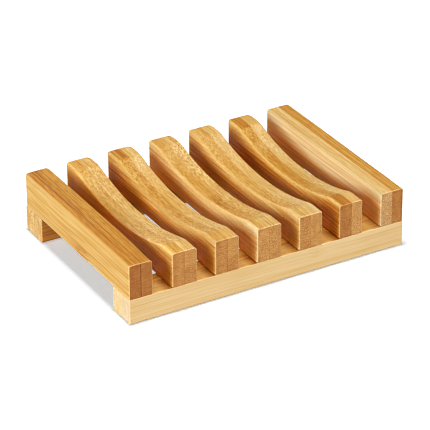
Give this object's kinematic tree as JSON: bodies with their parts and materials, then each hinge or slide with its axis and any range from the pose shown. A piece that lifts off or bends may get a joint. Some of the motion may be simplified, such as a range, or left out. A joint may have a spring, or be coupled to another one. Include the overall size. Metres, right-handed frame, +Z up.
{
  "type": "soap dish",
  "caption": "Slatted bamboo soap dish: straight end slats, inner slats scooped into a shallow seat for a bar of soap, with open drain gaps between them, on cross rails front and rear.",
  "frame": {"origin": "bottom centre of the dish, on the surface it stands on", "axes": "+X along the rails from the left end slat to the right end slat, +Y from front to rear along the slats, +Z up"},
  "size_m": [0.12, 0.085, 0.025],
  "materials": {
    "end_slat_bamboo": "sanded and oiled bamboo, satin",
    "slat_bamboo": "sanded and oiled bamboo, satin",
    "rail_bamboo": "sanded and oiled bamboo, satin",
    "brad_steel": "bright wire steel"
  },
  "bodies": {
    "root": {"left_end_slat_outer_strip": "end_slat_bamboo", "left_end_slat_inner_strip": "end_slat_bamboo", "slat_2_left_strip": "slat_bamboo", "slat_2_right_strip": "slat_bamboo", "slat_3_left_strip": "slat_bamboo", "slat_3_right_strip": "slat_bamboo", "slat_4_left_strip": "slat_bamboo", "slat_4_right_strip": "slat_bamboo", "slat_5_left_strip": "slat_bamboo", "slat_5_right_strip": "slat_bamboo", "slat_6_left_strip": "slat_bamboo", "slat_6_right_strip": "slat_bamboo", "right_end_slat_inner_strip": "end_slat_bamboo", "right_end_slat_outer_strip": "end_slat_bamboo", "front_rail_outer_strip": "rail_bamboo", "front_rail_inner_strip": "rail_bamboo", "rear_rail_inner_strip": "rail_bamboo", "rear_rail_outer_strip": "rail_bamboo", "front_rail_brads": "brad_steel", "rear_rail_brads": "brad_steel"}
  },
  "joints": []
}
